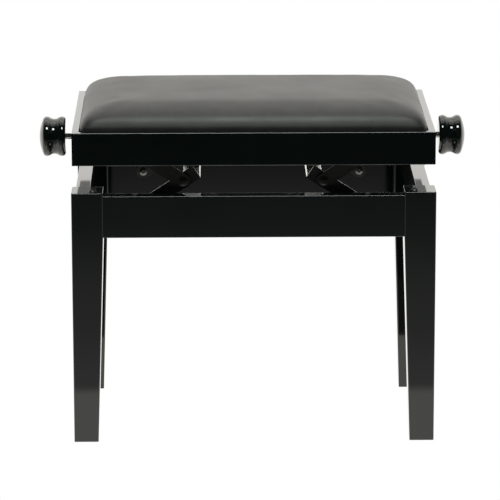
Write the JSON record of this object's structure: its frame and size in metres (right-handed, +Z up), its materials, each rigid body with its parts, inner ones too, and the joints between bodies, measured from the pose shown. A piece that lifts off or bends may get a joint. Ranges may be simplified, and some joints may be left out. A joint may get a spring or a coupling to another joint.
{
  "type": "piano bench",
  "caption": "Height-adjustable piano bench: padded leather seat on a lacquered frame, raised by a side-knob screw spindle and a half-scissor, on tapered square legs.",
  "frame": {"origin": "on the floor, under the middle of the bench", "axes": "+Z up; +X along the seat and the spindle, to the right when the bench is seen from its front; +Y from the front apron to the back apron"},
  "size_m": [0.662, 0.33, 0.5266],
  "materials": {
    "lacquer": "black high-gloss polyester lacquer on beech",
    "beech": "plain, unfinished beech",
    "plywood": "birch plywood, stained black",
    "black_stain": "beech, stained black, matt",
    "dark_steel": "black-oxide steel, slightly oily",
    "foam": "cut polyurethane foam",
    "leather": "black, fine pebble grain, satin",
    "nylon": "dark moulded nylon",
    "rubber": "black, smooth",
    "zinc_steel": "bright zinc plated",
    "brass": "plain turned brass",
    "black_steel": "black powder coat, satin"
  },
  "bodies": {
    "base": {"leg_front_left": "lacquer", "leg_front_right": "lacquer", "leg_back_right": "lacquer", "leg_back_left": "lacquer", "apron_front": "lacquer", "apron_back": "lacquer", "apron_left": "lacquer", "apron_right": "lacquer", "apron_dowels": "beech", "foot_glides": "nylon", "leg_bumpers": "rubber", "apron_inserts": "brass", "lower_pivot_spacers": "zinc_steel", "lower_pivot_bolts": "dark_steel"},
    "seat": {"seat_rail_front": "lacquer", "seat_rail_back": "lacquer", "seat_rail_left": "lacquer", "seat_rail_right": "lacquer", "seat_block_front_left": "black_stain", "seat_block_front_right": "black_stain", "seat_block_back_right": "black_stain", "seat_block_back_left": "black_stain", "seat_board_screws": "zinc_steel", "seat_board": "plywood", "seat_foam": "foam", "seat_cover": "leather", "seat_bracket_front": "black_steel", "seat_bracket_back": "black_steel", "bracket_screws": "zinc_steel", "upper_pivot_spacers": "zinc_steel", "upper_pivot_bolts": "dark_steel", "spindle_bush_left": "brass", "spindle_bush_right": "brass"},
    "spindle": {"spindle": "zinc_steel", "knob_left": "lacquer", "knob_right": "lacquer", "thrust_collars": "zinc_steel", "knob_inserts": "zinc_steel"},
    "left_lift_arm": {"left_lift_arm_front": "black_steel", "left_lift_arm_back": "black_steel", "left_cross_bar": "zinc_steel", "left_fork": "black_steel", "left_crossing_rivets": "black_steel", "left_crossing_washers": "zinc_steel"},
    "left_link": {"left_link_front": "black_steel", "left_link_back": "black_steel"},
    "left_nut": {"left_nut": "brass", "left_nut_clips": "zinc_steel"},
    "right_lift_arm": {"right_lift_arm_front": "black_steel", "right_lift_arm_back": "black_steel", "right_cross_bar": "zinc_steel", "right_fork": "black_steel", "right_crossing_rivets": "black_steel", "right_crossing_washers": "zinc_steel"},
    "right_link": {"right_link_front": "black_steel", "right_link_back": "black_steel"},
    "right_nut": {"right_nut": "brass", "right_nut_clips": "zinc_steel"}
  },
  "joints": [
    {"name": "lift", "type": "hinge", "parent": "base", "child": "left_lift_arm", "pos_m": [-0.1725, 0, 0.364], "axis": [0, -1, 0], "range_deg": [-15.5, 26.5]},
    {"name": "left_link_pivot", "type": "hinge", "parent": "left_lift_arm", "child": "left_link", "pos_m": [-0.10698, 0, 0.4065], "axis": [0, -1, 0], "range_deg": [-53.5, 31.5]},
    {"name": "seat_pivot", "type": "hinge", "parent": "left_link", "child": "seat", "pos_m": [-0.1725, 0, 0.449], "axis": [0, -1, 0], "range_deg": [-16, 27]},
    {"name": "left_nut_pivot", "type": "hinge", "parent": "left_lift_arm", "child": "left_nut", "pos_m": [-0.04145, 0, 0.449], "axis": [0, -1, 0], "range_deg": [-27, 16]},
    {"name": "right_arm_pivot", "type": "hinge", "parent": "base", "child": "right_lift_arm", "pos_m": [0.1725, 0, 0.364], "axis": [0, 1, 0], "range_deg": [-16, 27]},
    {"name": "right_link_pivot", "type": "hinge", "parent": "right_lift_arm", "child": "right_link", "pos_m": [0.10698, 0, 0.4065], "axis": [0, 1, 0], "range_deg": [-53.5, 31.5]},
    {"name": "right_nut_pivot", "type": "hinge", "parent": "right_lift_arm", "child": "right_nut", "pos_m": [0.04145, 0, 0.449], "axis": [0, 1, 0], "range_deg": [-27, 16]},
    {"name": "knob_turn", "type": "hinge", "parent": "seat", "child": "spindle", "pos_m": [0, 0, 0.449], "axis": [-1, 0, 0], "range_deg": [-1845, 3154]}
  ],
  "couplings": [
    {"joint": "left_link_pivot", "follows": "lift", "ratio": -2},
    {"joint": "seat_pivot", "follows": "lift", "ratio": 1},
    {"joint": "left_nut_pivot", "follows": "lift", "ratio": -1},
    {"joint": "right_arm_pivot", "follows": "lift", "ratio": 1},
    {"joint": "right_link_pivot", "follows": "lift", "ratio": -2},
    {"joint": "right_nut_pivot", "follows": "lift", "ratio": -1},
    {"joint": "knob_turn", "follows": "lift", "ratio": 119}
  ]
}
